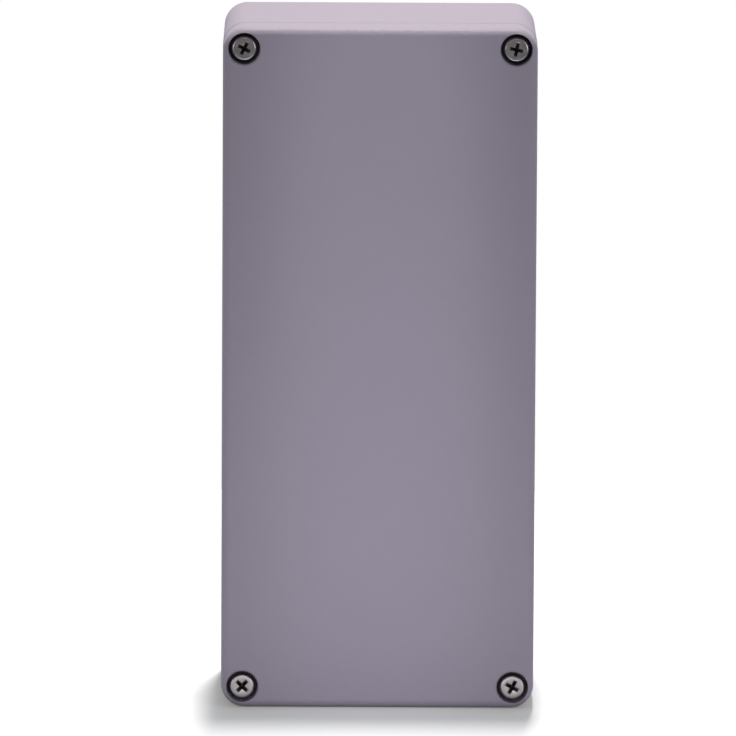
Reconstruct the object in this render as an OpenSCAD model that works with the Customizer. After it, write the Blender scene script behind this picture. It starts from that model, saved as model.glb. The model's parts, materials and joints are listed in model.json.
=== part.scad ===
// Die-cast aluminium enclosure: a deep base, a flat lid on a tongue-and-groove seal, four captive
// lid screws in the corners, wall-mounting channels outside the seal and an earth terminal inside.
// Each piece is drawn lying on the enclosure's back, then stood on its lower end by stand().

/* [Body] */
// Width of the enclosure
body_w = 80; // [70:1:120]
// Length of the enclosure, its height when it stands
body_l = 175; // [120:1:260]
// Depth from the mounting face to the lid's face
body_d = 57; // [45:1:90]
// Radius of the four long corners
corner_r = 6; // [5:0.5:7]
// Thickness of the side walls
wall_t = 3.4; // [3:0.1:4.5]
// Thickness of the back
floor_t = 3.2; // [2.5:0.1:5]
// Rounding of the edge around the back
back_edge_r = 1.5; // [0.8:0.1:2.5]
// Radius where the inner walls meet
cavity_r = 3; // [2.5:0.5:5]

/* [Lid] */
// Depth of the lid, from the parting line to its face
lid_d = 12; // [11:0.5:16]
// Thickness of the lid's face
lid_face_t = 3; // [2.5:0.1:4]
// Rounding of the edge around the lid's face
lid_edge_r = 2.2; // [1:0.1:3]
// Setback of the lid's outline from the base's
lid_setback = 0.1; // [0.05:0.05:0.3]
// Rounding of both rims at the parting line
rim_edge_r = 0.4; // [0.2:0.1:0.8]

/* [Seal] */
// Thickness of the base's sealing tongue
tongue_t = 1.4; // [1:0.1:1.8]
// Height of the tongue above the base's rim
tongue_h = 2.5; // [1.5:0.1:3]
// Gap between the tongue and each side of the lid's groove
groove_gap = 0.4; // [0.3:0.05:0.6]
// Thickness of the lid's rib inside the groove
rib_t = 1.6; // [1.2:0.1:2.4]
// Thickness of the gasket, pressed by the tongue
gasket_t = 2; // [1.5:0.1:3]
// Gap between the gasket and each side of the groove
gasket_gap = 0.05; // [0.05:0.05:0.2]

/* [Lid screws] */
// Distance of each screw from the two nearest sides
screw_inset = 5.5; // [5:0.1:6.5]
// Diameter of the counterbore in the lid's face
counterbore_d = 8.1; // [7.5:0.1:8.6]
// Bevel around the counterbore's mouth
counterbore_bevel = 0.3; // [0.1:0.1:0.5]
// Depth of the screw head's top below the lid's face
head_sink = 0.8; // [0.3:0.1:1.5]
// Diameter of the screw head
head_d = 6.4; // [5.5:0.1:7]
// Height of the screw head
head_h = 2.6; // [2.2:0.1:3.2]
// Rounding of the head's top edge
head_edge_r = 0.7; // [0.3:0.1:1]
// Diameter across the cross recess
recess_d = 3.9; // [3:0.1:4.4]
// Depth of the cross recess
recess_h = 1.7; // [1.2:0.1:2]
// Width of the recess's wings
recess_wing_t = 0.95; // [0.7:0.05:1.2]
// Thickness of the sealing washer
washer_t = 0.8; // [0.5:0.1:1.2]
// Diameter of the waist that keeps the screw captive
waist_d = 3; // [2.6:0.1:3.2]
// Outside diameter of the thread
thread_d = 4; // [3.5:0.1:4.5]
// Depth of the thread's upper end below the base's rim
thread_sink = 0.8; // [0.4:0.1:1.5]
// Thickness of the lid's web that the waist passes through
web_t = 1.5; // [1.2:0.1:2]
// Depth of the threaded hole past the screw's point
tip_room = 3; // [1:0.5:6]

/* [Wall mounting] */
// Distance of each mounting hole from the nearest long side
mount_inset_x = 14; // [13:0.5:18]
// Distance of each mounting hole from the nearest end
mount_inset_y = 6; // [5.5:0.5:8]
// Diameter of the mounting holes
mount_hole_d = 4.8; // [4:0.1:5.5]
// Diameter of the channels that take the mounting screws' heads
mount_channel_d = 8.6; // [7.5:0.1:8.8]
// Thickness of the back under those heads
mount_seat_t = 6; // [4:0.5:10]
// Wall between a channel and the inside
post_wall_t = 2.4; // [2:0.1:3.5]
// Rounding of the corner posts towards the inside
post_r = 3; // [2.5:0.5:4]

/* [Inside] */
// Distance of each mounting-plate boss from the nearest long side
boss_inset_x = 13; // [10:0.5:18]
// Distance of each mounting-plate boss from the nearest end
boss_inset_y = 22.5; // [20:0.5:40]
// Diameter of the bosses
boss_d = 8; // [7:0.5:10]
// Height of the bosses above the back's inside
boss_h = 4; // [2:0.5:8]
// Diameter of their threaded holes
boss_hole_d = 3.3; // [2.5:0.1:4]
// Thickness of the back left under those holes
blind_floor_t = 1.7; // [1.2:0.1:2.4]

/* [Earth terminal] */
// Diameter of the earth terminal's boss
earth_boss_d = 9; // [8:0.5:10]
// Height of that boss above the back's inside
earth_boss_h = 6; // [4:0.5:10]
// Thickness of the square wire clamp
clamp_t = 1; // [0.8:0.1:1.5]
// Height of the clamp's turned-up lips
clamp_lip_h = 1.8; // [1:0.1:2.5]
// Thickness of the toothed lock washer
lock_washer_t = 0.8; // [0.5:0.1:1.2]
// Teeth around the lock washer
lock_washer_teeth = 10; // [8:1:12]
// Diameter of the earth screw's head and of the lock washer under it
earth_head_d = 7.4; // [6:0.1:8]
// Height of the earth screw's head
earth_head_h = 2.8; // [2.2:0.1:3.2]
// Length of the earth screw under its head
earth_screw_l = 7.5; // [6:0.5:8]

/* [Hidden] */
$fn = 64;

// Cut-through allowance of holes past the faces they open on
past = 1;
// Diametral clearance of a thread in its hole and of a washer on its screw
thread_gap = 0.1;
// Diametral clearance of the captive waist in the lid's web
captive_gap = 0.4;
// Diametral clearance of the thread in the lid's bore
bore_gap = 0.6;
// Diametral clearance of a sealing washer in its counterbore
washer_gap = 0.5;
// Length of the lid's bore past the thread that draws back into it
draw_gap = 0.3;
// Clearance of the earth clamp from the end wall and from the screw head between its lips
clamp_gap = 0.4;

paint_grey = [0.55, 0.52, 0.58];
steel_grey = [0.72, 0.71, 0.70];
rubber_black = [0.07, 0.07, 0.08];

// Heights above the mounting face
rim_z = body_d - lid_d;
tongue_top_z = rim_z + tongue_h;
groove_top_z = tongue_top_z + gasket_t;
lid_inside_z = body_d - lid_face_t;
head_top_z = body_d - head_sink;
washer_top_z = head_top_z - head_h;
seat_z = washer_top_z - washer_t;
web_low_z = seat_z - web_t;
earth_boss_z = floor_t + earth_boss_h;
clamp_top_z = earth_boss_z + clamp_t;
earth_head_z = clamp_top_z + lock_washer_t;

// The thread leaves the base and draws right back into the lid's bore, up to the web
thread_l = web_low_z - rim_z - draw_gap;
thread_top_z = rim_z - thread_sink;
thread_tip_z = thread_top_z - thread_l;
tapped_low_z = thread_tip_z - tip_room;

// Corner posts hold a lid screw and a mounting channel, and stand outside the seal
post_x = mount_inset_x + mount_channel_d / 2 + post_wall_t;
post_y = mount_inset_y + mount_channel_d / 2 + post_wall_t;
screw_x = body_w / 2 - screw_inset;
screw_y = body_l / 2 - screw_inset;
lip_t = wall_t - tongue_t - groove_gap;
washer_d = counterbore_d - washer_gap;

// The earth terminal stands between the two lower posts, beside the end wall
clamp_inside_w = earth_head_d + 2 * clamp_gap;
clamp_w = clamp_inside_w + 2 * clamp_t;
earth_y = -body_l / 2 + wall_t + clamp_gap + clamp_w / 2;

// Cross recesses as the screws were left: corner and angle of the first wing
left = -1;
right = 1;
top = 1;
bottom = -1;
recess_turn = [[62, 47], [78, 62]];

function recess_angle(side, end) = recess_turn[(side + 1) / 2][(1 - end) / 2];

module stand() {
    translate([0, body_d / 2, body_l / 2])
        rotate([90, 0, 0])
            children();
}

module at_corners(x, y) {
    for (side = [left, right], end = [bottom, top])
        translate([side * x, end * y, 0])
            children();
}

module rounded_rect(w, l, r) {
    square([w - 2 * r, l], center = true);
    square([w, l - 2 * r], center = true);
    for (x = [-1, 1], y = [-1, 1])
        translate([x * (w / 2 - r), y * (l / 2 - r)])
            circle(r);
}

// Half section of a round or corner, with its lower and upper outer edges rounded
module edge_section(r, h, low_r, high_r) {
    translate([0, low_r])
        square([r, h - low_r - high_r]);
    square([r - low_r, h / 2]);
    translate([0, h / 2])
        square([r - high_r, h / 2]);
    translate([r - low_r, low_r])
        circle(low_r);
    translate([r - high_r, h - high_r])
        circle(high_r);
}

// Block with rounded corners and rounded edges around its lower and upper faces
module cast_block(w, l, h, r, low_r, high_r) {
    flat_w = w - 2 * r;
    flat_l = l - 2 * r;
    translate([-flat_w / 2, -flat_l / 2, 0])
        cube([flat_w, flat_l, h]);
    for (quarter = [0:3]) {
        across = quarter % 2 == 0 ? flat_w : flat_l;
        along = quarter % 2 == 0 ? flat_l : flat_w;
        rotate([0, 0, 90 * quarter]) {
            translate([across / 2, along / 2, 0])
                rotate([90, 0, 0])
                    linear_extrude(along)
                        edge_section(r, h, low_r, high_r);
            translate([across / 2, along / 2, 0])
                rotate_extrude(angle = 90)
                    edge_section(r, h, low_r, high_r);
        }
    }
}

// Outline of the inside, clear of the corner posts, moved outwards by grow
module inside_outline(grow) {
    corner = cavity_r + grow;
    post_corner = post_r - grow;
    short_x = body_w / 2 - post_x + grow;
    short_y = body_l / 2 - post_y + grow;
    rounded_rect(body_w - 2 * wall_t + 2 * grow, 2 * short_y, corner);
    rounded_rect(2 * short_x, body_l - 2 * wall_t + 2 * grow, corner);
    for (x = [0, 1], y = [0, 1])
        mirror([x, 0]) mirror([0, y])
            translate([short_x, short_y])
                difference() {
                    square(post_corner);
                    translate([post_corner, post_corner])
                        circle(post_corner);
                }
}

module seal_ring(outer, inner) {
    difference() {
        inside_outline(outer);
        inside_outline(inner);
    }
}

module base() {
    color(paint_grey)
        stand()
            difference() {
                union() {
                    difference() {
                        union() {
                            cast_block(body_w, body_l, rim_z, corner_r, back_edge_r, rim_edge_r);
                            translate([0, 0, rim_z / 2])
                                linear_extrude(tongue_top_z - rim_z / 2)
                                    inside_outline(tongue_t);
                        }
                        translate([0, 0, floor_t])
                            linear_extrude(body_d)
                                inside_outline(0);
                    }
                    plate_bosses();
                    earth_boss();
                }
                base_holes();
            }
}

module plate_bosses() {
    at_corners(body_w / 2 - boss_inset_x, body_l / 2 - boss_inset_y)
        translate([0, 0, floor_t / 2])
            cylinder(d = boss_d, h = floor_t / 2 + boss_h);
}

// Boss of the earth terminal, with a web to the end wall
module earth_boss() {
    translate([0, earth_y, floor_t / 2])
        cylinder(d = earth_boss_d, h = earth_boss_z - floor_t / 2);
    web_w = earth_boss_d * 2 / 3;
    web_l = earth_y + body_l / 2 - wall_t / 2;
    translate([-web_w / 2, earth_y - web_l, floor_t / 2])
        cube([web_w, web_l, earth_boss_z - floor_t / 2]);
}

module base_holes() {
    at_corners(screw_x, screw_y)
        translate([0, 0, tapped_low_z])
            cylinder(d = thread_d + thread_gap, h = rim_z - tapped_low_z + past);
    at_corners(body_w / 2 - mount_inset_x, body_l / 2 - mount_inset_y) {
        translate([0, 0, -past])
            cylinder(d = mount_hole_d, h = mount_seat_t + 2 * past);
        translate([0, 0, mount_seat_t])
            cylinder(d = mount_channel_d, h = rim_z);
    }
    at_corners(body_w / 2 - boss_inset_x, body_l / 2 - boss_inset_y)
        translate([0, 0, blind_floor_t])
            cylinder(d = boss_hole_d, h = floor_t + boss_h - blind_floor_t + past);
    translate([0, earth_y, earth_head_z - earth_screw_l - thread_gap])
        cylinder(d = thread_d + thread_gap, h = earth_screw_l + past);
}

module lid() {
    color(paint_grey)
        stand()
            difference() {
                translate([0, 0, rim_z])
                    cast_block(body_w - 2 * lid_setback, body_l - 2 * lid_setback, lid_d,
                               corner_r - lid_setback, rim_edge_r, lid_edge_r);
                translate([0, 0, rim_z - past])
                    linear_extrude(past + groove_top_z - rim_z)
                        seal_ring(tongue_t + groove_gap, -groove_gap);
                translate([0, 0, rim_z - past])
                    linear_extrude(past + lid_inside_z - rim_z)
                        inside_outline(-groove_gap - rib_t);
                lid_pockets();
                lid_screw_holes();
            }
}

// Pockets that keep the casting thin over the mounting channels
module lid_pockets() {
    near_x = screw_inset + counterbore_d / 2 + lip_t;
    far_x = post_x - tongue_t - groove_gap - lip_t;
    near_y = wall_t;
    far_y = post_y - tongue_t - groove_gap - lip_t;
    pocket_r = lip_t / 2;
    at_corners(body_w / 2 - (near_x + far_x) / 2, body_l / 2 - (near_y + far_y) / 2)
        translate([0, 0, rim_z - past])
            linear_extrude(past + lid_inside_z - rim_z)
                rounded_rect(far_x - near_x, far_y - near_y, pocket_r);
}

module lid_screw_holes() {
    bevel_h = counterbore_bevel + past;
    at_corners(screw_x, screw_y) {
        translate([0, 0, seat_z])
            cylinder(d = counterbore_d, h = body_d - seat_z + past);
        translate([0, 0, body_d - counterbore_bevel])
            cylinder(d1 = counterbore_d, d2 = counterbore_d + 2 * bevel_h, h = bevel_h);
        translate([0, 0, rim_z])
            cylinder(d = waist_d + captive_gap, h = body_d - rim_z);
        translate([0, 0, rim_z - past])
            cylinder(d = thread_d + bore_gap, h = web_low_z - rim_z + past);
    }
}

module gasket() {
    color(rubber_black)
        stand()
            translate([0, 0, tongue_top_z])
                linear_extrude(gasket_t)
                    seal_ring(tongue_t + groove_gap - gasket_gap, -groove_gap + gasket_gap);
}

// Screw head from its underside up, with a cross recess in its top
module cross_head(d, h, edge_r) {
    difference() {
        rotate_extrude()
            edge_section(d / 2, h, edge_r / 4, edge_r);
        translate([0, 0, h - recess_h])
            intersection() {
                cylinder(d1 = recess_d / 2, d2 = recess_d, h = recess_h);
                for (wing = [0, 90])
                    rotate([0, 0, wing])
                        translate([-recess_d, -recess_wing_t / 2, 0])
                            cube([2 * recess_d, recess_wing_t, recess_h + past]);
            }
    }
}

// Threaded end from its tip up, with a bevelled point
module threaded_end(l) {
    point_h = thread_d / 8;
    cylinder(d1 = thread_d - 2 * point_h, d2 = thread_d, h = point_h);
    translate([0, 0, point_h])
        cylinder(d = thread_d, h = l - point_h);
}

module lid_screw(side, end) {
    color(steel_grey)
        stand()
            translate([side * screw_x, end * screw_y, 0]) {
                translate([0, 0, washer_top_z])
                    rotate([0, 0, recess_angle(side, end)])
                        cross_head(head_d, head_h, head_edge_r);
                translate([0, 0, thread_top_z])
                    cylinder(d = waist_d, h = washer_top_z - thread_top_z);
                translate([0, 0, thread_tip_z])
                    threaded_end(thread_l);
            }
}

module screw_washer(side, end) {
    color(rubber_black)
        stand()
            translate([side * screw_x, end * screw_y, seat_z])
                difference() {
                    cylinder(d = washer_d, h = washer_t);
                    translate([0, 0, -past])
                        cylinder(d = waist_d + thread_gap, h = washer_t + 2 * past);
                }
}

module earth_screw() {
    color(steel_grey)
        stand()
            translate([0, earth_y, earth_head_z]) {
                cross_head(earth_head_d, earth_head_h, head_edge_r);
                translate([0, 0, -earth_screw_l])
                    threaded_end(earth_screw_l);
            }
}

module earth_lock_washer() {
    tooth_w = PI * earth_head_d / lock_washer_teeth / 2;
    ring_d = (earth_head_d + thread_d) / 2;
    color(steel_grey)
        stand()
            translate([0, earth_y, clamp_top_z])
                difference() {
                    union() {
                        cylinder(d = ring_d, h = lock_washer_t);
                        intersection() {
                            cylinder(d = earth_head_d, h = lock_washer_t);
                            for (tooth = [0:lock_washer_teeth - 1])
                                rotate([0, 0, 360 / lock_washer_teeth * tooth])
                                    translate([0, -tooth_w / 2, 0])
                                        cube([earth_head_d, tooth_w, lock_washer_t]);
                        }
                    }
                    translate([0, 0, -past])
                        cylinder(d = thread_d + thread_gap, h = lock_washer_t + 2 * past);
                }
}

// Square saddle with two lips turned up beside the lock washer
module earth_clamp() {
    color(steel_grey)
        stand()
            translate([0, earth_y, earth_boss_z])
                difference() {
                    translate([-clamp_w / 2, -clamp_w / 2, 0])
                        cube([clamp_w, clamp_w, clamp_t + clamp_lip_h]);
                    translate([-clamp_inside_w / 2, -clamp_w, clamp_t])
                        cube([clamp_inside_w, 2 * clamp_w, clamp_lip_h + past]);
                    translate([0, 0, -past])
                        cylinder(d = thread_d + thread_gap, h = clamp_t + 2 * past);
                }
}

base();
lid();
gasket();
lid_screw(left, top);  // lid_screw_top_left
lid_screw(right, top);  // lid_screw_top_right
lid_screw(left, bottom);  // lid_screw_bottom_left
lid_screw(right, bottom);  // lid_screw_bottom_right
screw_washer(left, top);  // screw_washer_top_left
screw_washer(right, top);  // screw_washer_top_right
screw_washer(left, bottom);  // screw_washer_bottom_left
screw_washer(right, bottom);  // screw_washer_bottom_right
earth_screw();
earth_lock_washer();
earth_clamp();
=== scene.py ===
"""Finish a packed die-cast enclosure: powder coat, cut screws, seals, earth terminal and a white studio."""

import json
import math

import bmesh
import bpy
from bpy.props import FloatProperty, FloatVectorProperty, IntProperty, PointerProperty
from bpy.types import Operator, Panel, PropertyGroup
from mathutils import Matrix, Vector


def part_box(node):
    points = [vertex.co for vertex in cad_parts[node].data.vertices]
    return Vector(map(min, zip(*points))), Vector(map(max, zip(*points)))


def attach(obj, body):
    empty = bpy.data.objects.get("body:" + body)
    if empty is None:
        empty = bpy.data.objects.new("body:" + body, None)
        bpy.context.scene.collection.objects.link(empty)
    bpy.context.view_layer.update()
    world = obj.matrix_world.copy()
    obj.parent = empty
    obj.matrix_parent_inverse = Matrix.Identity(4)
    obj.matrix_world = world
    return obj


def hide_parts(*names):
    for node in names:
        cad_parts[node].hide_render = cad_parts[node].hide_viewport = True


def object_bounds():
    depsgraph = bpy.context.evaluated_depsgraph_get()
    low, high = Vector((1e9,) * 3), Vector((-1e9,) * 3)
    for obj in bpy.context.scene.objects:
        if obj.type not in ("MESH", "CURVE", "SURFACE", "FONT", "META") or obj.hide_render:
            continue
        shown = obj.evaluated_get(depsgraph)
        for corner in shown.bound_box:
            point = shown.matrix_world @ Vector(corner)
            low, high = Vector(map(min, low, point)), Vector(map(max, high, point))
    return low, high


bl_info = {
    "name": "Aluminium Enclosure",
    "version": (1, 0, 0),
    "blender": (4, 5, 0),
    "location": "View3D > Sidebar > Enclosure",
    "description": "Coats the castings and makes the screws, seals, earth terminal and studio",
    "category": "Object",
}

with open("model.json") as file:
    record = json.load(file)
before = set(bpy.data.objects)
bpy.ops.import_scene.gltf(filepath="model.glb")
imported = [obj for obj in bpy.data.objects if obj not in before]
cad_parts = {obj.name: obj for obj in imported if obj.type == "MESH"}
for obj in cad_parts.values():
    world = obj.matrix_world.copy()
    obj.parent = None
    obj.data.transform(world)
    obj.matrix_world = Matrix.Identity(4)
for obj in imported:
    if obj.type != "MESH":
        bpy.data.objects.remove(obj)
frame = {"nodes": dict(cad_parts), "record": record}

CAD_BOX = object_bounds()
MM = 0.001
WELD = 0.001 * MM
FULL_TURN = 2 * math.pi
CORNERS = ("top_left", "top_right", "bottom_left", "bottom_right")
# Local +Z, the way a screw comes out, becomes -Y in the enclosure's frame.
FACE_FRONT = Matrix.Rotation(math.radians(90), 4, "X")

# How fine the meshes are, and the angles past which an edge is shaded sharp, rounded, or no longer flat.
ROUND_STEPS = 64
ROWS_PER_PITCH = 8
TOOTH_STEPS = 8
PAPER_STEPS = 96
HEAD_SEGMENTS = 8
EDGE_SEGMENTS = 4
FINE_SEGMENTS = 3
SHADE_SHARP_DEG = 38
ROUND_SHARP_DEG = 50
LIP_SHARP_DEG = 40
FLAT_DEG = 0.5

# Thread: its depth and its fading start in pitches, its flank in half pitches, its tip in radii.
THREAD_DEPTH = 0.61
THREAD_FADE = 0.7
FLANK_FOOT = 0.86
FLANK_WIDTH = 0.66
TIP_FLAT = 0.68

# Screw heads: how the recess's wings and floor draw in, the wings' share of its depth, and small roundings.
RECESS_TURN_DEG = {"top_left": 62, "top_right": 78, "bottom_left": 47, "bottom_right": 62}
WING_TAPER = 0.62
FLOOR_TAPER = 0.25
WING_DEPTH = 0.45
RECESS_MARGIN = 0.22 * MM
LIP_ROUND = 0.07 * MM
UNDERHEAD_ROUND = 0.12 * MM
NECK_ROUND = 0.2 * MM

# Earth terminal: the screw's plain shank against its thread, and the washer's bore and teeth.
EARTH_TURN_DEG = 20
EARTH_SHANK = 0.9
EARTH_PLAIN = 0.8 * MM
WASHER_PLAY = 0.05 * MM
TOOTH_SHARE = 0.5

# Powder coat and bare alloy: sizes of the textures, what they move, soft edges and relief.
CLOUD_SIZE = 22 * MM
SPECK_SIZE = 0.22 * MM
PEEL_SIZE = 1.1 * MM
COAT_CLOUD = 0.06
COAT_SPECK = 0.06
COAT_DULLING = 0.08
ALLOY_SPECK = 0.28
ALLOY_SHINE = 0.06
COAT_IOR = 1.5
DISC_EDGE = 0.08 * MM
DEPTH_EDGE = 0.1 * MM
BARE_START = 0.3 * MM
TAP_RELIEF = 0.12 * MM
PIN_RELIEF = 0.15 * MM

# Turned metal: lathe rings, stains and grain, and painted shade that darkens the inside of a head's recess.
RING_PITCH = 0.11 * MM
RING_RELIEF = 0.0006 * MM
STAIN_SIZE = 1.6 * MM
STAIN_SHADE = 0.16
STAIN_DULLING = 0.14
GRAIN_SIZE = 0.09 * MM
GRAIN_SHADE = 0.08
GRAIN_RELIEF = 0.0012 * MM
# Painted shade in a head's recess: how deep below the head's top it starts and is full, its soft rim, how
# far past the recess it runs, and how much it darkens and dulls the metal.
RECESS_SHADE_START = 0.08 * MM
RECESS_SHADE_FULL = 0.5 * MM
RECESS_SHADE_EDGE = 0.1 * MM
RECESS_SHADE_OVERRUN = 1.1
RECESS_SHADE_DARKENING = 0.8
RECESS_SHADE_DULLING = 0.1

# Seals: dust on the skin and the relief of its grain.
DUST_SIZE = 6 * MM
DUST_SHADE = 0.4
DUST_DULLING = 0.1
SKIN_RELIEF = 0.012 * MM

NOISE_ROUGHNESS = 0.55
# A Mix node of vectors takes and gives them at these sockets.
MIX_FIRST, MIX_SECOND, MIX_RESULT = 4, 5, 1

# Camera: the photograph's side and the frame's shift in its pixels, the sensor in millimetres.
PHOTO_SIDE = 736
SHIFT_ACROSS = -10.35
SHIFT_UP = -14.73
SENSOR = 36
NEAREST = 10 * MM

# Lamps: sizes and places in metres.
KEY_SIZE = (0.12, 0.56)
KEY_PLACE = Vector((0.036, 0.45, 2.6))
SIDE_SIZE = (0.6, 0.5)
LEFT_PLACE = Vector((-0.92, -0.77, 0.28))
RIGHT_PLACE = Vector((0.92, -0.77, 0.28))
SPOT_PLACE = Vector((0, -0.96, 0.45))
SPOT_AIM = Vector((0, CAD_BOX[0].y, 0.1))
SPOT_RADIUS = 0.01
CARD_SIZE = (0.14, 0.03)
CARD_PLACE = Vector((0, -0.17, 0.02))
CARD_AIM = Vector((0, CAD_BOX[0].y, 0.03))
WHITE = (1, 1, 1)
# The room gives way to the sweep between these, where -1 is in front of the lid and 1 behind the base.
ROOM_END = -0.25
SWEEP_START = 0.35


def length_prop(name, description, default_mm, most_mm=500.0):
    """A length in metres, given by its default in millimetres."""
    return FloatProperty(
        name=name, description=description, default=default_mm * MM, min=0.0, max=most_mm * MM,
        subtype="DISTANCE", unit="LENGTH", precision=5)


def colour_prop(name, description, default):
    """A linear colour."""
    return FloatVectorProperty(
        name=name, description=description, default=default, size=3, min=0.0, max=1.0, subtype="COLOR")


def angle_prop(name, description, default_deg):
    """An angle, given by its default in degrees."""
    return FloatProperty(
        name=name, description=description, default=math.radians(default_deg), subtype="ANGLE", precision=5)


def share_prop(name, description, default):
    """A number from 0 to 1."""
    return FloatProperty(
        name=name, description=description, default=default, min=0.0, max=1.0, subtype="FACTOR")


def power_prop(name, description, default):
    """A lamp's power in watts."""
    return FloatProperty(name=name, description=description, default=default, min=0.0, subtype="POWER")


class CoatSettings(PropertyGroup):
    """Powder coat and the bare metal that shows through it."""

    colour: colour_prop("Coat", "Colour of the powder coat", (0.315, 0.282, 0.372))
    roughness: share_prop("Coat roughness", "Satin of the powder coat", 0.62)
    peel: length_prop("Orange peel", "Height of the coat's waviness", 0.09)
    grit: length_prop("Grit", "Height of the coat's fine grit", 0.012)
    alloy: colour_prop("Alloy", "Colour of the bare casting alloy", (0.74, 0.74, 0.75))
    tapped: length_prop("Tapped hole", "Diameter left bare around a tapped hole", 4.4)
    tap_pitch: length_prop("Tap pitch", "Distance from one thread to the next in a tapped hole", 0.7)
    boss_across: length_prop("Bosses across", "Distance between the plate bosses, side to side", 54)
    boss_along: length_prop("Bosses along", "Distance between the plate bosses, end to end", 130)
    boss_hole: length_prop("Boss hole", "Diameter left bare around a boss's hole", 3.7)
    earth_face: length_prop("Earth face", "Diameter left bare on the earth boss", 8.6)
    pin_mark: length_prop("Pin mark", "Diameter of an ejector pin's mark", 6)
    pin_across: length_prop("Pins across", "Ejector pins' distance from the middle, to the side", 18)
    pin_near: length_prop("Near pins", "Inner ejector pins' distance from the middle, up or down", 14)
    pin_far: length_prop("Far pins", "Outer ejector pins' distance from the middle, up or down", 48)
    pin_depth: length_prop("Pin depth", "Where the inner faces lie, out from the middle", 24.7)
    outer_skin: length_prop("Outer skin", "Where the outer faces begin, out from the middle", 26.1)


class ScrewSettings(PropertyGroup):
    """Captive lid screws."""

    steel: colour_prop("Steel", "Colour of the stainless steel", (0.35, 0.322, 0.334))
    roughness: share_prop("Steel roughness", "Gloss of the turned steel", 0.32)
    head_round: length_prop("Head rounding", "Radius of the head's top edge", 0.7)
    waist: length_prop("Waist", "Diameter of the reduced shank", 3.0)
    thread: length_prop("Thread", "Outside diameter of the thread", 4.0)
    thread_length: length_prop("Thread length", "Length of the threaded end", 6.0)
    pitch: length_prop("Pitch", "Distance from one thread to the next", 0.7)
    recess_span: length_prop("Recess span", "Width across the cross recess", 3.9)
    recess_width: length_prop("Recess wing", "Width of one wing of the recess", 0.95)
    recess_depth: length_prop("Recess depth", "Depth of the cross recess", 1.7)


class SealSettings(PropertyGroup):
    """Washers under the screw heads and the gasket in the lid's groove."""

    black: colour_prop("Washer", "Colour of the sealing washers", (0.016, 0.015, 0.016))
    washer_roughness: share_prop("Washer roughness", "Gloss of the sealing washers", 0.55)
    washer_grain: length_prop("Washer grain", "Size of the grain in a washer's skin", 0.3)
    washer_hole: length_prop("Washer hole", "Inside diameter of a sealing washer", 3.1)
    washer_round: length_prop("Washer rounding", "Radius of a washer's edges", 0.22)
    rubber: colour_prop("Gasket", "Colour of the gasket", (0.022, 0.022, 0.024))
    gasket_roughness: share_prop("Gasket roughness", "Gloss of the gasket", 0.78)
    gasket_grain: length_prop("Gasket grain", "Size of the grain in the gasket's skin", 0.5)
    gasket_round: length_prop("Gasket rounding", "Radius of the gasket's edges", 0.6)


class EarthSettings(PropertyGroup):
    """Earth terminal on its boss in the base."""

    zinc: colour_prop("Plating", "Colour of the zinc plating", (0.66, 0.65, 0.60))
    roughness: share_prop("Plating roughness", "Gloss of the zinc plating", 0.36)
    sheet: length_prop("Washer sheet", "Thickness of the toothed washer's sheet", 0.42)
    teeth: IntProperty(name="Teeth", description="Teeth on the lock washer", default=10, min=4, max=20)
    clamp_round: length_prop("Clamp rounding", "Radius of the clamp's edges", 0.22)


class StageSettings(PropertyGroup):
    """Camera, lamps and the white sweep."""

    azimuth: angle_prop("Azimuth", "Camera's way round from the front", -0.265)
    elevation: angle_prop("Elevation", "Camera's height above the horizon", 8.549)
    roll: angle_prop("Roll", "Camera's turn about its own axis", 0.306)
    distance: length_prop("Distance", "Camera's distance from the enclosure's middle", 2760, 10000)
    lens: FloatProperty(
        name="Lens", description="Focal length in millimetres", default=525.6, min=20, max=1000)
    key_power: power_prop("Key", "Power of the overhead softbox", 70.5)
    key_tint: colour_prop("Key tint", "Colour of the overhead softbox", (1.0, 0.935, 0.82))
    left_power: power_prop("Left", "Power of the left softbox", 1.92)
    right_power: power_prop("Right", "Power of the right softbox", 2.88)
    spot_power: power_prop("Spot", "Power of the front spot", 7.3)
    spot_beam: angle_prop("Spot beam", "Height of the front spot's beam", 30)
    spot_slot: share_prop("Spot slot", "Width of the front spot's beam against its height", 0.15)
    card_power: power_prop("Card", "Power of the low front card", 0.037)
    room: share_prop("Room", "Brightness of the room in front of the sweep", 0.22)
    sweep: share_prop("Sweep", "Brightness of the sweep behind the enclosure", 0.55)
    paper: colour_prop("Paper", "Colour of the floor, cool against the warm key", (0.78, 0.825, 0.93))
    paper_bounce: share_prop("Paper bounce", "Share of light that the floor throws back up", 0.3)
    paper_lift: share_prop("Paper lift", "Glow that keeps the lit floor white", 0.13)
    paper_glow: colour_prop("Paper glow", "Colour of the glow, warm to keep shadows grey", (1.0, 0.92, 0.61))
    paper_radius: length_prop("Paper radius", "Radius of the floor", 320, 5000)


class Signal:
    """A shader socket that Python arithmetic turns into Math nodes."""

    def __init__(self, graph, socket):
        self.graph = graph
        self.socket = socket

    def combine(self, operation, *values):
        return self.graph.node("ShaderNodeMath", {"operation": operation}, dict(enumerate(values)))

    def __add__(self, other):
        return self.combine("ADD", self, other)

    def __radd__(self, other):
        return self.combine("ADD", other, self)

    def __sub__(self, other):
        return self.combine("SUBTRACT", self, other)

    def __rsub__(self, other):
        return self.combine("SUBTRACT", other, self)

    def __mul__(self, other):
        return self.combine("MULTIPLY", self, other)

    def __rmul__(self, other):
        return self.combine("MULTIPLY", other, self)

    def __pow__(self, other):
        return self.combine("POWER", self, other)

    def __abs__(self):
        return self.combine("ABSOLUTE", self)


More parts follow.
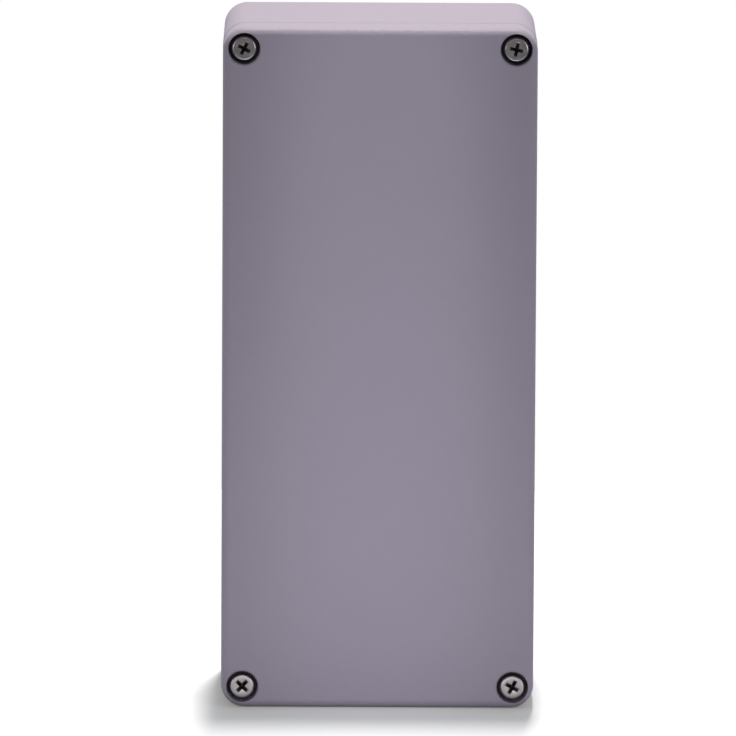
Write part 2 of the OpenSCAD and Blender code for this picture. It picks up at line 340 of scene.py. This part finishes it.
class Graph:
    """Adds nodes to one emptied node tree and hands back their outputs."""

    def __init__(self, tree):
        self.tree = tree
        tree.nodes.clear()

    def node(self, kind, settings=None, sockets=None, output=0):
        made = self.tree.nodes.new(kind)
        for name, value in (settings or {}).items():
            setattr(made, name, value)
        for key, value in (sockets or {}).items():
            if isinstance(value, Signal):
                self.tree.links.new(value.socket, made.inputs[key])
            else:
                made.inputs[key].default_value = value
        return Signal(self, made.outputs[output]) if made.outputs else None

    def outputs(self, names, kind, sockets=None):
        """Several outputs of one new node."""
        made = self.node(kind, sockets=sockets).socket.node
        return [Signal(self, made.outputs[name]) for name in names]

    def place(self):
        """Object coordinates, which are the enclosure's own frame in metres."""
        return self.node("ShaderNodeTexCoord", output="Object")

    def axes(self, vector):
        return self.outputs("XYZ", "ShaderNodeSeparateXYZ", {"Vector": vector})

    def noise(self, vector, grain, detail):
        """Cloudy noise from 0 to 1 with spots of about the given size in metres."""
        return self.node(
            "ShaderNodeTexNoise",
            sockets={"Vector": vector, "Scale": 1 / grain, "Detail": detail, "Roughness": NOISE_ROUGHNESS})

    def ramp(self, value, start, end):
        """A smooth step from 0 at start to 1 at end."""
        return self.node(
            "ShaderNodeMapRange", {"interpolation_type": "SMOOTHSTEP"},
            {"Value": value, "From Min": start, "From Max": end})

    def varied(self, middle, *swings):
        """A value that noises move about its middle, each by its own full swing."""
        total = middle - sum(swing for swing, _ in swings) / 2
        for swing, noise in swings:
            total = total + swing * noise
        return total

    def scaled(self, colour, amount):
        return self.node("ShaderNodeVectorMath", {"operation": "SCALE"}, {0: colour, "Scale": amount})

    def mixed(self, amount, first, second):
        sockets = {"Factor": amount, MIX_FIRST: first, MIX_SECOND: second}
        return self.node("ShaderNodeMix", {"data_type": "VECTOR"}, sockets, MIX_RESULT)

    def bump(self, height):
        """A normal from a height in metres."""
        return self.node("ShaderNodeBump", sockets={"Height": height, "Strength": 1.0, "Distance": 1.0})

    def surface(self, **sockets):
        """Ends the tree in a Principled shader; an underscore in a name stands for a space."""
        named = {name.replace("_", " "): value for name, value in sockets.items()}
        shader = self.node("ShaderNodeBsdfPrincipled", sockets=named)
        self.node("ShaderNodeOutputMaterial", sockets={"Surface": shader})


def new_graph(name):
    material = bpy.data.materials.new(name)
    material.use_nodes = True
    return material, Graph(material.node_tree)


def powder_coat(settings):
    """Grey powder coat with ejector pin marks, left off tapped holes and the earth boss's top."""
    material, graph = new_graph("grey powder coat")
    place = graph.place()
    x, y, z = graph.axes(place)
    middle = (CAD_BOX[0].z + CAD_BOX[1].z) / 2
    side, up, out = abs(x), abs(z - middle), abs(y)
    screw, earth = middle_of("lid_screw_top_right"), middle_of("earth_screw")
    rim_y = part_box("lid")[1].y - BARE_START
    earth_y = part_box("earth_clamp")[1].y - BARE_START

    def disc(across, along, diameter):
        """1 on a round place, 0 around it."""
        radius = (across * across + along * along) ** 0.5
        return 1 - graph.ramp(radius, diameter / 2 - DISC_EDGE, diameter / 2 + DISC_EDGE)

    def past(value, limit):
        return graph.ramp(value, limit - DEPTH_EDGE, limit + DEPTH_EDGE)

    inside = 1 - past(out, settings.outer_skin)
    tapped = disc(side - screw.x, up - (screw.z - middle), settings.tapped) * past(y, rim_y) * inside
    bosses = disc(side - settings.boss_across / 2, up - settings.boss_along / 2, settings.boss_hole)
    bosses = bosses * past(y, 0)
    earth_face = disc(x - earth.x, z - earth.z, settings.earth_face) * past(y, earth_y)
    bare = tapped + (bosses + earth_face) * inside
    reaches = (settings.pin_near, settings.pin_far)
    pins = sum(disc(side - settings.pin_across, up - reach, settings.pin_mark) for reach in reaches)
    pins = pins * past(out, settings.pin_depth) * inside

    cloud = graph.noise(place, CLOUD_SIZE, detail=3)
    speck = graph.noise(place, SPECK_SIZE, detail=1)
    peel = graph.noise(place, PEEL_SIZE, detail=1)
    coat = graph.scaled(settings.colour, graph.varied(1, (COAT_CLOUD, cloud), (COAT_SPECK, speck)))
    alloy = graph.scaled(settings.alloy, graph.varied(1, (ALLOY_SPECK, speck)))
    threads = tapped * y.combine("SINE", y * (FULL_TURN / settings.tap_pitch))
    relief = settings.peel * peel + settings.grit * speck + TAP_RELIEF * threads - PIN_RELIEF * pins
    graph.surface(
        Base_Color=graph.mixed(bare, coat, alloy),
        Metallic=bare,
        Roughness=graph.varied(settings.roughness, (COAT_DULLING, cloud)) - ALLOY_SHINE * bare,
        IOR=COAT_IOR,
        Normal=graph.bump(relief),
    )
    return material


def turned_metal(name, colour, roughness, centre, recess_y, recess_depth, recess_r):
    """Metal with the fine rings that a lathe leaves about an axis along Y, and painted shade deep in a
    head's recess.
    """
    material, graph = new_graph(name)
    place = graph.place()
    x, y, z = graph.axes(place)
    across, along = x - centre.x, z - centre.z
    radius = (across * across + along * along) ** 0.5
    rings = radius.combine("SINE", radius * (FULL_TURN / RING_PITCH))
    stain = graph.noise(place, STAIN_SIZE, detail=3)
    grain = graph.noise(place, GRAIN_SIZE, detail=2)
    depth = y - recess_y
    # Painted shade: the base colour darkens with depth inside the recess, in place of the shade that falls
    # there.
    recess_shade = graph.ramp(depth, RECESS_SHADE_START, RECESS_SHADE_FULL)
    recess_shade = recess_shade * (1 - graph.ramp(depth, recess_depth, RECESS_SHADE_OVERRUN * recess_depth))
    recess_shade = recess_shade * (1 - graph.ramp(radius, recess_r, recess_r + RECESS_SHADE_EDGE))
    shade = graph.varied(1, (STAIN_SHADE, stain), (GRAIN_SHADE, grain)) * (1 - RECESS_SHADE_DARKENING * recess_shade)
    graph.surface(
        Base_Color=graph.scaled(colour, shade),
        Metallic=1.0,
        Roughness=graph.varied(roughness, (STAIN_DULLING, stain)) + RECESS_SHADE_DULLING * recess_shade,
        Normal=graph.bump(RING_RELIEF * rings + GRAIN_RELIEF * grain),
    )
    return material


def black_seal(name, colour, roughness, grain_size):
    """Matt black elastomer with a fine skin."""
    material, graph = new_graph(name)
    place = graph.place()
    grain = graph.noise(place, grain_size, detail=3)
    dust = graph.noise(place, DUST_SIZE, detail=4)
    graph.surface(
        Base_Color=graph.scaled(colour, graph.varied(1, (DUST_SHADE, dust))),
        Roughness=graph.varied(roughness, (DUST_DULLING, dust)),
        Normal=graph.bump(SKIN_RELIEF * grain),
    )
    return material


def add_piece(name, mesh_tools, material, node):
    """Close the mesh, turn its faces outwards, and let it ride in place of its CAD node."""
    bmesh.ops.remove_doubles(mesh_tools, verts=mesh_tools.verts, dist=WELD)
    bmesh.ops.recalc_face_normals(mesh_tools, faces=mesh_tools.faces)
    mesh = bpy.data.meshes.new(name)
    mesh_tools.to_mesh(mesh)
    mesh_tools.free()
    # A copy of a CAD mesh brings its own normals along.
    if "custom_normal" in mesh.attributes:
        mesh.attributes.remove(mesh.attributes["custom_normal"])
    mesh.materials.append(material)
    mesh.shade_smooth()
    mesh.set_sharp_from_angle(angle=math.radians(SHADE_SHARP_DEG))
    piece = bpy.data.objects.new(name, mesh)
    bpy.context.scene.collection.objects.link(piece)
    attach(piece, body_of(node))
    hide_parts(node)


def body_of(node):
    for body, nodes in frame["record"]["behaviour"]["bodies"].items():
        if node in nodes:
            return body
    raise KeyError(f"no body holds {node}")


def middle_of(node):
    low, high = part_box(node)
    return (low + high) / 2


def draw_section(mesh_tools, points, closed=False):
    """A line of (radius, height) points in the XZ plane."""
    verts = [mesh_tools.verts.new((radius, 0, height)) for radius, height in points]
    for first, second in zip(verts, verts[1:]):
        mesh_tools.edges.new((first, second))
    if closed:
        mesh_tools.edges.new((verts[-1], verts[0]))


def at_points(items, points):
    """The verts at some of a section's points, or the edges between them."""
    places = [Vector((radius, 0, height)) for radius, height in points]
    return [
        item for item in items
        if all(
            any((vert.co - place).length < WELD for place in places)
            for vert in getattr(item, "verts", [item]))]


def round_points(mesh_tools, points, radius, segments):
    bmesh.ops.bevel(
        mesh_tools, geom=at_points(mesh_tools.verts, points), offset=radius, offset_type="OFFSET",
        segments=segments, profile=0.5, affect="VERTICES", material=-1)


def turn_section(mesh_tools, steps=ROUND_STEPS):
    """Spin everything drawn so far about Z."""
    bmesh.ops.spin(
        mesh_tools, geom=mesh_tools.verts[:] + mesh_tools.edges[:], cent=(0, 0, 0), axis=(0, 0, 1),
        angle=FULL_TURN, steps=steps, use_merge=True)
    bmesh.ops.remove_doubles(mesh_tools, verts=mesh_tools.verts, dist=WELD)


def cut_thread(mesh_tools, root_r, crest_r, pitch, start_z, tip_z):
    """Raise a right-hand thread on the plain end, fading in at its start and chamfered at the tip."""
    for vert in mesh_tools.verts:
        radius = math.hypot(vert.co.x, vert.co.y)
        if abs(radius - root_r) > WELD or not tip_z - WELD < vert.co.z < start_z + WELD:
            continue
        turn = math.atan2(vert.co.y, vert.co.x) / FULL_TURN
        phase = (vert.co.z / pitch - turn) % 1
        ridge = min(1, max(0, (FLANK_FOOT - abs(2 * phase - 1)) / FLANK_WIDTH))
        fade = min(1, (start_z - vert.co.z) / (THREAD_FADE * pitch))
        wanted = root_r + (crest_r - root_r) * ridge * fade
        wanted = min(wanted, TIP_FLAT * crest_r + vert.co.z - tip_z)
        vert.co.x *= wanted / radius
        vert.co.y *= wanted / radius


def sink_recess(mesh_tools, rim_r, top_z, settings):
    """Close the head's open top and sink a cross recess into it, its wings tapering inwards."""
    cap_place = Matrix.Translation((0, 0, top_z))
    bmesh.ops.create_circle(mesh_tools, cap_ends=True, segments=ROUND_STEPS, radius=rim_r, matrix=cap_place)
    bmesh.ops.remove_doubles(mesh_tools, verts=mesh_tools.verts, dist=WELD)
    half_span, half_width = settings.recess_span / 2, settings.recess_width / 2

    def on_top(item):
        return all(abs(vert.co.z - top_z) < WELD for vert in item.verts)

    def on_cap(face):
        return on_top(face) and face.calc_center_median().xy.length < rim_r

    for axis in (Vector((1, 0, 0)), Vector((0, 1, 0))):
        for reach in (-half_span, -half_width, half_width, half_span):
            faces = [face for face in mesh_tools.faces if on_cap(face)]
            edges = {edge for face in faces for edge in face.edges}
            verts = {vert for face in faces for vert in face.verts}
            bmesh.ops.bisect_plane(
                mesh_tools, geom=[*faces, *edges, *verts], dist=WELD, plane_co=axis * reach, plane_no=axis)

    def in_cross(face):
        near, far = sorted(abs(c) for c in face.calc_center_median().xy)
        return near < half_width and far < half_span

    cross = [face for face in mesh_tools.faces if on_cap(face) and in_cross(face)]
    sunk = bmesh.ops.extrude_face_region(mesh_tools, geom=cross)["geom"]
    bmesh.ops.delete(mesh_tools, geom=cross, context="FACES")
    for vert in (item for item in sunk if isinstance(item, bmesh.types.BMVert)):
        wing_end = vert.co.xy.length > half_span - WELD
        vert.co.xy *= WING_TAPER if wing_end else FLOOR_TAPER
        vert.co.z -= settings.recess_depth * (WING_DEPTH if wing_end else 1)
    bmesh.ops.recalc_face_normals(mesh_tools, faces=mesh_tools.faces)
    sharp = math.radians(LIP_SHARP_DEG)
    lip = [edge for edge in mesh_tools.edges if on_top(edge) and edge.calc_face_angle() > sharp]
    bmesh.ops.bevel(
        mesh_tools, geom=lip, offset=LIP_ROUND, offset_type="OFFSET", segments=FINE_SEGMENTS, profile=0.5,
        affect="EDGES", material=-1)


def cross_screw(settings, head_r, head_h, waist_r, thread_z, tip_z, turn_deg):
    """A cross-recess screw, its head's underside at Z=0 and its head upwards."""
    screw = bmesh.new()
    crest_r = settings.thread / 2
    root_r = crest_r - THREAD_DEPTH * settings.pitch
    ring_r = settings.recess_span / 2 + RECESS_MARGIN
    top_edge, low_edge, neck = (head_r, head_h), (head_r, 0), (waist_r, 0)
    thread_start, thread_end = (root_r, thread_z - abs(root_r - waist_r)), (root_r, tip_z)
    draw_section(screw, (
        (ring_r, head_h), top_edge, low_edge, neck, (waist_r, thread_z), thread_start, thread_end,
        (0, tip_z)))
    rows = round(ROWS_PER_PITCH * (thread_start[1] - tip_z) / settings.pitch)
    threaded = at_points(screw.edges, (thread_start, thread_end))
    bmesh.ops.subdivide_edges(screw, edges=threaded, cuts=rows)
    round_points(screw, [top_edge], settings.head_round, HEAD_SEGMENTS)
    round_points(screw, [low_edge], UNDERHEAD_ROUND, FINE_SEGMENTS)
    round_points(screw, [neck], NECK_ROUND, EDGE_SEGMENTS)
    turn_section(screw)
    cut_thread(screw, root_r, crest_r, settings.pitch, thread_z, tip_z)
    sink_recess(screw, ring_r, head_h, settings)
    bmesh.ops.rotate(screw, verts=screw.verts, matrix=Matrix.Rotation(math.radians(turn_deg), 3, "Z"))
    return screw


def stand_at(mesh_tools, x, y, z):
    """Turn the upright piece to face the front, with its Z=0 at the given place."""
    place = Matrix.Translation((x, y, z)) @ FACE_FRONT
    bmesh.ops.transform(mesh_tools, verts=mesh_tools.verts, matrix=place)


def merged_copy(node):
    """A node's mesh as clean faces, for rounding its edges."""
    copy = bmesh.new()
    copy.from_mesh(frame["nodes"][node].data)
    bmesh.ops.remove_doubles(copy, verts=copy.verts, dist=WELD)
    bmesh.ops.dissolve_limit(
        copy, angle_limit=math.radians(FLAT_DEG), use_dissolve_boundaries=False, verts=copy.verts,
        edges=copy.edges)
    return copy


def round_edges(mesh_tools, radius, segments):
    sharp = math.radians(ROUND_SHARP_DEG)
    edges = [edge for edge in mesh_tools.edges if edge.is_manifold and edge.calc_face_angle() > sharp]
    bmesh.ops.bevel(
        mesh_tools, geom=edges, offset=radius, offset_type="OFFSET", segments=segments, profile=0.5,
        affect="EDGES", material=-1, clamp_overlap=True)


class ENCLOSURE_OT_coat_castings(Operator):
    """Give the base and the lid their powder coat"""

    bl_idname = "enclosure.coat_castings"
    bl_label = "Coat Castings"

    def execute(self, context):
        coat = powder_coat(context.scene.enclosure_coat)
        for node in ("base", "lid"):
            mesh = frame["nodes"][node].data
            mesh.materials.clear()
            mesh.materials.append(coat)
        return {"FINISHED"}


class ENCLOSURE_OT_make_lid_screws(Operator):
    """Make the four captive screws with cut threads and cross recesses"""

    bl_idname = "enclosure.make_lid_screws"
    bl_label = "Make Lid Screws"

    def execute(self, context):
        settings = context.scene.enclosure_screws
        for corner in CORNERS:
            node = f"lid_screw_{corner}"
            low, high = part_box(node)
            seat_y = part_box(f"screw_washer_{corner}")[0].y
            centre = middle_of(node)
            tip_z = seat_y - high.y
            screw = cross_screw(
                settings, (high.x - low.x) / 2, seat_y - low.y, settings.waist / 2,
                tip_z + settings.thread_length, tip_z, RECESS_TURN_DEG[corner])
            stand_at(screw, centre.x, seat_y, centre.z)
            steel = turned_metal(
                f"turned steel {corner}", settings.steel, settings.roughness, centre, low.y,
                settings.recess_depth, settings.recess_span / 2)
            add_piece(f"screw_{corner}_turned", screw, steel, node)
        return {"FINISHED"}


class ENCLOSURE_OT_make_screw_washers(Operator):
    """Make the black sealing washers under the screw heads"""

    bl_idname = "enclosure.make_screw_washers"
    bl_label = "Make Screw Washers"

    def execute(self, context):
        settings = context.scene.enclosure_seals
        black = black_seal(
            "black sealing washer", settings.black, settings.washer_roughness, settings.washer_grain)
        for corner in CORNERS:
            node = f"screw_washer_{corner}"
            low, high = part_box(node)
            outer, inner, thick = (high.x - low.x) / 2, settings.washer_hole / 2, high.y - low.y
            washer = bmesh.new()
            section = ((inner, 0), (outer, 0), (outer, thick), (inner, thick))
            draw_section(washer, section, closed=True)
            round_points(washer, section, settings.washer_round, EDGE_SEGMENTS)
            turn_section(washer)
            centre = middle_of(node)
            stand_at(washer, centre.x, high.y, centre.z)
            add_piece(f"washer_{corner}_moulded", washer, black, node)
        return {"FINISHED"}


class ENCLOSURE_OT_make_gasket(Operator):
    """Make the gasket in the lid's groove, with rounded edges"""

    bl_idname = "enclosure.make_gasket"
    bl_label = "Make Gasket"

    def execute(self, context):
        settings = context.scene.enclosure_seals
        rubber = black_seal(
            "gasket rubber", settings.rubber, settings.gasket_roughness, settings.gasket_grain)
        gasket = merged_copy("gasket")
        round_edges(gasket, settings.gasket_round, EDGE_SEGMENTS)
        add_piece("gasket_moulded", gasket, rubber, "gasket")
        return {"FINISHED"}


class ENCLOSURE_OT_make_earth_terminal(Operator):
    """Make the earth terminal's screw, toothed washer and clamp"""

    bl_idname = "enclosure.make_earth_terminal"
    bl_label = "Make Earth Terminal"

    def execute(self, context):
        settings = context.scene.enclosure_earth
        screw_settings = context.scene.enclosure_screws
        centre = middle_of("earth_screw")
        low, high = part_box("earth_screw")
        zinc = turned_metal(
            "zinc plating", settings.zinc, settings.roughness, centre, low.y, screw_settings.recess_depth,
            screw_settings.recess_span / 2)

        washer_low, washer_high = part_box("earth_lock_washer")
        seat_y = washer_low.y
        crest_r = screw_settings.thread / 2
        screw = cross_screw(
            screw_settings, (high.x - low.x) / 2, seat_y - low.y, crest_r * EARTH_SHANK, -EARTH_PLAIN,
            seat_y - high.y, EARTH_TURN_DEG)
        stand_at(screw, centre.x, seat_y, centre.z)
        add_piece("earth_screw_turned", screw, zinc, "earth_screw")

        thick = washer_high.y - washer_low.y
        washer = self.toothed_washer(settings, crest_r, (washer_high.x - washer_low.x) / 2, thick)
        stand_at(washer, centre.x, seat_y + thick / 2, centre.z)
        add_piece("earth_washer_toothed", washer, zinc, "earth_lock_washer")

        clamp = merged_copy("earth_clamp")
        round_edges(clamp, settings.clamp_round, FINE_SEGMENTS)
        add_piece("earth_clamp_pressed", clamp, zinc, "earth_clamp")
        return {"FINISHED"}

    def toothed_washer(self, settings, crest_r, outer, thick):
        """A sheet ring whose outer teeth are twisted, level with Z=0."""
        inner, ring = crest_r + WASHER_PLAY, (outer + crest_r) / 2
        washer = bmesh.new()
        draw_section(washer, ((inner, 0), (ring, 0), ((ring + outer) / 2, 0), (outer, 0)))
        turn_section(washer, settings.teeth * TOOTH_STEPS)

        def tooth_place(point):
            """0 where a tooth starts, up to 1 where the next one does."""
            return (math.atan2(point.y, point.x) / FULL_TURN * settings.teeth) % 1

        def in_gap(face):
            centre = face.calc_center_median()
            return centre.xy.length > ring and tooth_place(centre) > TOOTH_SHARE

        gaps = [face for face in washer.faces if in_gap(face)]
        bmesh.ops.delete(washer, geom=gaps, context="FACES")
        for vert in washer.verts:
            reach = max(0, vert.co.xy.length - ring) / (outer - ring)
            twist = tooth_place(vert.co) / TOOTH_SHARE - 0.5
            vert.co.z = twist * reach * (thick - settings.sheet)
        bmesh.ops.solidify(washer, geom=washer.faces, thickness=settings.sheet)
        heights = [vert.co.z for vert in washer.verts]
        level = (max(heights) + min(heights)) / 2
        bmesh.ops.translate(washer, verts=washer.verts, vec=(0, 0, -level))
        return washer


class ENCLOSURE_OT_set_stage(Operator):
    """Set the camera, the lamps and the white sweep"""

    bl_idname = "enclosure.set_stage"
    bl_label = "Set Stage"

    def execute(self, context):
        scene, settings = context.scene, context.scene.enclosure_stage
        scene.view_settings.view_transform = "Standard"
        middle = (CAD_BOX[0] + CAD_BOX[1]) / 2
        self.set_camera(scene, settings, middle)
        self.lay_paper(scene, settings)
        self.set_room(scene, settings)
        key = self.softbox("key softbox", settings.key_power, KEY_SIZE, settings.key_tint)
        left = self.softbox("left softbox", settings.left_power, SIDE_SIZE)
        right = self.softbox("right softbox", settings.right_power, SIDE_SIZE)
        card = self.softbox("low front card", settings.card_power, CARD_SIZE)
        self.hang(scene, key, KEY_PLACE, middle)
        self.hang(scene, left, LEFT_PLACE, middle)
        self.hang(scene, right, RIGHT_PLACE, middle)
        self.hang(scene, self.spot(settings), SPOT_PLACE, SPOT_AIM, settings.spot_slot)
        self.hang(scene, card, CARD_PLACE, CARD_AIM)
        return {"FINISHED"}

    def set_camera(self, scene, settings, middle):
        camera = bpy.data.objects.new("camera", bpy.data.cameras.new("camera"))
        scene.collection.objects.link(camera)
        camera.data.lens = settings.lens
        camera.data.sensor_width = SENSOR
        camera.data.shift_x = SHIFT_ACROSS / PHOTO_SIDE
        camera.data.shift_y = SHIFT_UP / PHOTO_SIDE
        camera.data.clip_start = NEAREST
        level = math.cos(settings.elevation)
        across, along = math.sin(settings.azimuth) * level, -math.cos(settings.azimuth) * level
        back = Vector((across, along, math.sin(settings.elevation)))
        place = Matrix.Translation(middle + back * settings.distance)
        camera.matrix_world = place @ self.look(-back) @ Matrix.Rotation(settings.roll, 4, "Z")
        scene.camera = camera

    def look(self, direction):
        """The turn that points a camera or a lamp along a direction."""
        return direction.to_track_quat("-Z", "Y").to_matrix().to_4x4()

    def softbox(self, name, power, size, colour=WHITE):
        lamp = bpy.data.lights.new(name, "AREA")
        lamp.shape = "RECTANGLE"
        lamp.size, lamp.size_y = size
        lamp.energy, lamp.color = power, colour
        return lamp

    def spot(self, settings):
        """A small spot whose beam fades from its middle to its rim."""
        lamp = bpy.data.lights.new("front spot", "SPOT")
        lamp.energy = settings.spot_power
        lamp.spot_size, lamp.spot_blend = settings.spot_beam, 1.0
        lamp.shadow_soft_size = SPOT_RADIUS
        return lamp

    def hang(self, scene, lamp, place, aim, slot=1):
        """Point a lamp at a place and keep it out of the picture; a slot below 1 narrows its beam."""
        holder = bpy.data.objects.new(lamp.name, lamp)
        holder.visible_camera = False
        scene.collection.objects.link(holder)
        narrowed = Matrix.Diagonal((slot, 1, 1, 1))
        holder.matrix_world = Matrix.Translation(place) @ self.look(aim - place) @ narrowed

    def lay_paper(self, scene, settings):
        """A white floor that keeps the shadow and throws little light back up."""
        paper = bmesh.new()
        bmesh.ops.create_circle(paper, cap_ends=True, segments=PAPER_STEPS, radius=settings.paper_radius)
        mesh = bpy.data.meshes.new("paper")
        paper.to_mesh(mesh)
        paper.free()
        material, graph = new_graph("white paper")
        seen = self.seen_rays(graph)
        grey = (settings.paper_bounce,) * 3 + (1,)
        glow_sockets = {"Color": (*settings.paper_glow, 1), "Strength": settings.paper_lift}
        matt = graph.node("ShaderNodeBsdfDiffuse", sockets={"Color": (*settings.paper, 1)})
        glow = graph.node("ShaderNodeEmission", sockets=glow_sockets)
        lifted = graph.node("ShaderNodeAddShader", sockets={0: matt, 1: glow})
        dim = graph.node("ShaderNodeBsdfDiffuse", sockets={"Color": grey})
        shown = graph.node("ShaderNodeMixShader", sockets={0: seen, 1: dim, 2: lifted})
        graph.node("ShaderNodeOutputMaterial", sockets={"Surface": shown})
        mesh.materials.append(material)
        floor = bpy.data.objects.new("paper", mesh)
        scene.collection.objects.link(floor)

    def seen_rays(self, graph):
        """1 for camera, glossy and transmission rays."""
        names = ("Is Camera Ray", "Is Glossy Ray", "Is Transmission Ray")
        camera, glossy, through = graph.outputs(names, "ShaderNodeLightPath")
        return camera.combine("MAXIMUM", camera, glossy.combine("MAXIMUM", glossy, through))

    def set_room(self, scene, settings):
        """A white sweep behind the enclosure and a dimmer room in front of it."""
        scene.world = bpy.data.worlds.new("studio")
        scene.world.use_nodes = True
        graph = Graph(scene.world.node_tree)
        direction = graph.node("ShaderNodeTexCoord", output="Generated")
        _, ahead, _ = graph.axes(direction)
        behind = graph.ramp(ahead, ROOM_END, SWEEP_START)
        [camera] = graph.outputs(["Is Camera Ray"], "ShaderNodeLightPath")
        lit = settings.room + (settings.sweep - settings.room) * behind
        seen = self.seen_rays(graph)
        white = camera.combine("MAXIMUM", camera, seen * behind)
        strength = lit + white * (1 - lit)
        background = graph.node("ShaderNodeBackground", sockets={"Color": (*WHITE, 1), "Strength": strength})
        graph.node("ShaderNodeOutputWorld", sockets={"Surface": background})


class ENCLOSURE_PT_parts(Panel):
    """Lists the enclosure's pieces and their settings"""

    bl_idname = "ENCLOSURE_PT_parts"
    bl_label = "Enclosure"
    bl_space_type = "VIEW_3D"
    bl_region_type = "UI"
    bl_category = "Enclosure"

    def draw(self, context):
        for operator, pointer in STEPS:
            box = self.layout.box()
            box.operator(operator.bl_idname)
            settings = getattr(context.scene, pointer)
            for name in settings.__annotations__:
                box.prop(settings, name)


GROUPS = {
    "enclosure_coat": CoatSettings,
    "enclosure_screws": ScrewSettings,
    "enclosure_seals": SealSettings,
    "enclosure_earth": EarthSettings,
    "enclosure_stage": StageSettings,
}
STEPS = (
    (ENCLOSURE_OT_coat_castings, "enclosure_coat"),
    (ENCLOSURE_OT_make_lid_screws, "enclosure_screws"),
    (ENCLOSURE_OT_make_screw_washers, "enclosure_seals"),
    (ENCLOSURE_OT_make_gasket, "enclosure_seals"),
    (ENCLOSURE_OT_make_earth_terminal, "enclosure_earth"),
    (ENCLOSURE_OT_set_stage, "enclosure_stage"),
)
CLASSES = (*GROUPS.values(), *(operator for operator, _ in STEPS), ENCLOSURE_PT_parts)


def register():
    for cls in CLASSES:
        bpy.utils.register_class(cls)
    for pointer, group in GROUPS.items():
        setattr(bpy.types.Scene, pointer, PointerProperty(type=group))


def unregister():
    for pointer in GROUPS:
        delattr(bpy.types.Scene, pointer)
    for cls in reversed(CLASSES):
        bpy.utils.unregister_class(cls)


def main():
    register()
    bpy.ops.enclosure.coat_castings()
    bpy.ops.enclosure.make_lid_screws()
    bpy.ops.enclosure.make_screw_washers()
    bpy.ops.enclosure.make_gasket()
    bpy.ops.enclosure.make_earth_terminal()
    bpy.ops.enclosure.set_stage()


if __name__ == "__main__":
    main()
